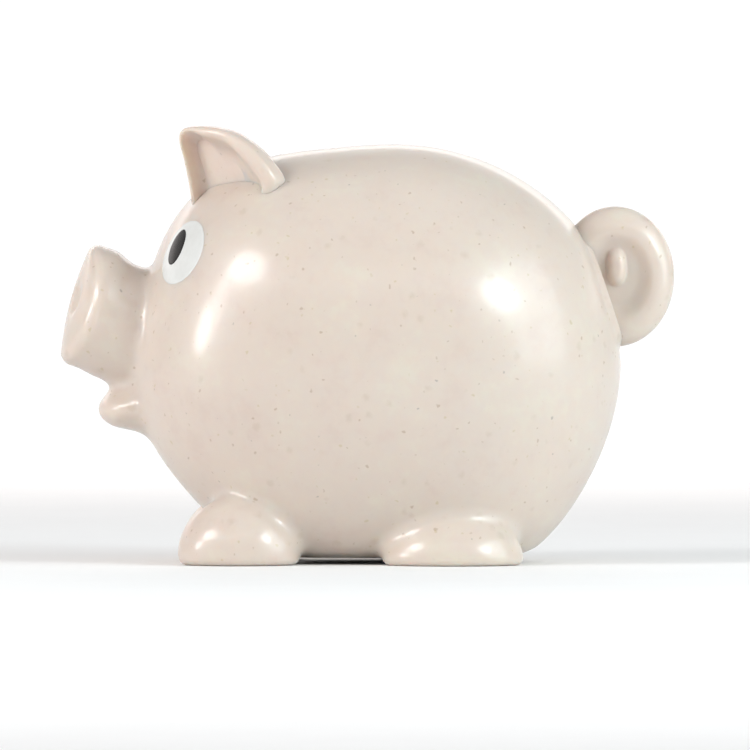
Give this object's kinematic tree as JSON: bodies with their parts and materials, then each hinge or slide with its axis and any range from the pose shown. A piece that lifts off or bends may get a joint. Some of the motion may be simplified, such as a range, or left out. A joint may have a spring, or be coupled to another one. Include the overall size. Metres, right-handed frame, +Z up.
{
  "type": "piggy bank",
  "caption": "Glossy straw-filled plastic pig money box: half shells with a coin slot, plugged-in ears and curled tail, inlaid eyes and a pull-out belly stopper.",
  "frame": {"origin": "under the middle of the bounding box, on the surface that the feet stand on", "axes": "+Z up, -X towards the snout, +Y towards the pig's right flank; the mould seam is the plane y = 0"},
  "size_m": [0.1102, 0.068, 0.0786],
  "materials": {
    "shell": "glossy, slightly translucent, with fine straw flecks",
    "eye_white": "glossy print",
    "pupil": "glossy print",
    "stopper": "soft, satin"
  },
  "bodies": {
    "bank": {"left_shell": "shell", "right_shell": "shell", "left_ear": "shell", "right_ear": "shell", "tail": "shell", "left_eye_white": "eye_white", "right_eye_white": "eye_white", "left_pupil": "pupil", "right_pupil": "pupil"},
    "stopper": {"belly_stopper": "stopper"}
  },
  "joints": [
    {"name": "stopper_pull", "type": "slide", "parent": "bank", "child": "stopper", "axis": [0, 0, -1], "range_m": [0, 0.012]}
  ]
}
